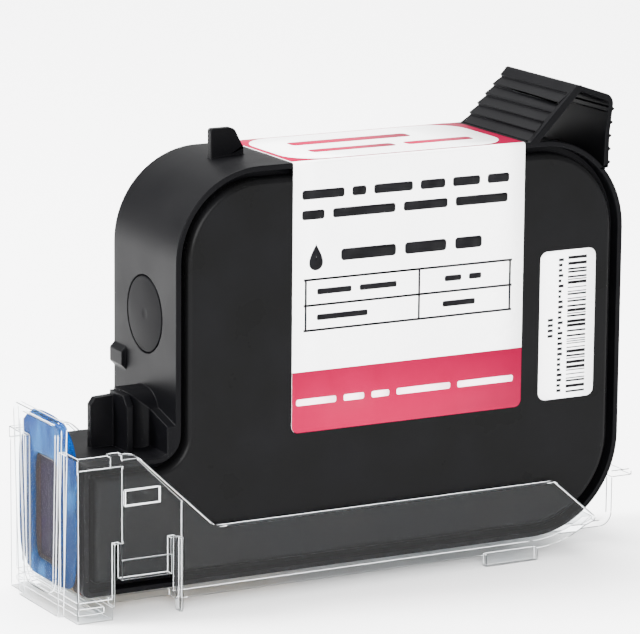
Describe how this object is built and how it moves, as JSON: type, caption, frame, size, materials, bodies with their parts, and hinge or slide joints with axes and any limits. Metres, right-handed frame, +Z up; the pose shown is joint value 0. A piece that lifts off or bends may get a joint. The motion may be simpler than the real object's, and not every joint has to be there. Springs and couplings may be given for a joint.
{
  "type": "inkjet date coder cartridge",
  "caption": "Flat black ink cartridge for a date coder: rounded spring-bag body, nose print head, stepped thumb handle and a clear lift-off clip with a blue seal.",
  "frame": {"origin": "on the standing plane of the clip's feet, under the middle of the bounding box", "axes": "+X along the cartridge from the nozzles to the handle end, +Y from the label side to the back, +Z up"},
  "size_m": [0.0956, 0.0242, 0.07],
  "materials": {
    "frame_plastic": "moulded satin",
    "liner_plastic": "moulded matte",
    "cover_lacquer": "satin black lacquer",
    "bag_film": "metallised film",
    "plate_steel": "rolled",
    "spring_steel": "rolled",
    "plug_plastic": "moulded satin",
    "ball_steel": "polished",
    "screen_mesh": "woven wire",
    "silicon": "polished",
    "nozzle_nickel": "electroformed",
    "flex_polyimide": "film",
    "encapsulant": "cured bead",
    "gold_lands": "plated",
    "label_film": "printed",
    "clear_styrene": "clear, polished mould",
    "seal_silicone": "translucent blue"
  },
  "bodies": {
    "clip": {"protective_clip": "clear_styrene", "seal_pad": "seal_silicone"},
    "cartridge": {"outer_frame": "frame_plastic", "inner_frame": "liner_plastic", "front_side_cover": "cover_lacquer", "rear_side_cover": "cover_lacquer", "front_film": "bag_film", "rear_film": "bag_film", "bow_spring": "spring_steel", "fill_port_plug": "plug_plastic", "fill_port_ball": "ball_steel", "filter_carrier": "liner_plastic", "front_filter_screen": "screen_mesh", "rear_filter_screen": "screen_mesh", "printhead_die": "silicon", "nozzle_plate": "nozzle_nickel", "flex_circuit": "flex_polyimide", "encapsulant_beads": "encapsulant", "contact_pads": "gold_lands", "main_label": "label_film", "barcode_label": "label_film"},
    "front_plate": {"front_pressure_plate": "plate_steel"},
    "rear_plate": {"rear_pressure_plate": "plate_steel"}
  },
  "joints": [
    {"name": "cartridge_lift", "type": "slide", "parent": "clip", "child": "cartridge", "axis": [0, 0, 1], "range_m": [0, 0.03]},
    {"name": "front_plate_slide", "type": "slide", "parent": "cartridge", "child": "front_plate", "axis": [0, 1, 0], "range_m": [0, 0.006], "stiffness_N_per_m": 60, "springref_m": -0.004, "deforming": ["bow_spring", "front_film"]},
    {"name": "rear_plate_slide", "type": "slide", "parent": "cartridge", "child": "rear_plate", "axis": [0, -1, 0], "range_m": [0, 0.006], "stiffness_N_per_m": 60, "springref_m": -0.004, "deforming": ["rear_film"]}
  ],
  "couplings": [
    {"joint": "rear_plate_slide", "follows": "front_plate_slide", "ratio": 1}
  ]
}
